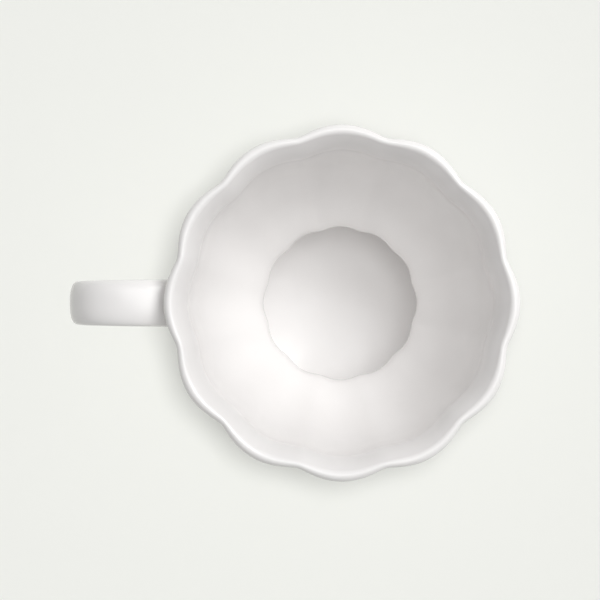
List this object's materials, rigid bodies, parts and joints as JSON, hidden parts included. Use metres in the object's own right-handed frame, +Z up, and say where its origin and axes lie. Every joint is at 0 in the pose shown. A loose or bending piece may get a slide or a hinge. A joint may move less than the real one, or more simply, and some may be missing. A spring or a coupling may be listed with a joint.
{
  "type": "cream jug",
  "caption": "Small porcelain cream jug with a wide twelve-lobed mouth, a fluted round bowl that narrows to a ledge over a low belly, a strap handle on one side and a ring foot.",
  "frame": {"origin": "centre of the foot ring's resting face, on the axis of the jug", "axes": "+Z up along the jug's axis, +X away from the handle, so the handle points along -X"},
  "size_m": [0.127, 0.1, 0.083],
  "materials": {
    "glazed_porcelain": "clear gloss glaze over white porcelain",
    "bare_porcelain": "unglazed, fine matt"
  },
  "bodies": {
    "root": {"body": "glazed_porcelain", "foot_ring": "bare_porcelain", "handle": "glazed_porcelain", "upper_handle_joint": "glazed_porcelain", "lower_handle_joint": "glazed_porcelain"}
  },
  "joints": []
}
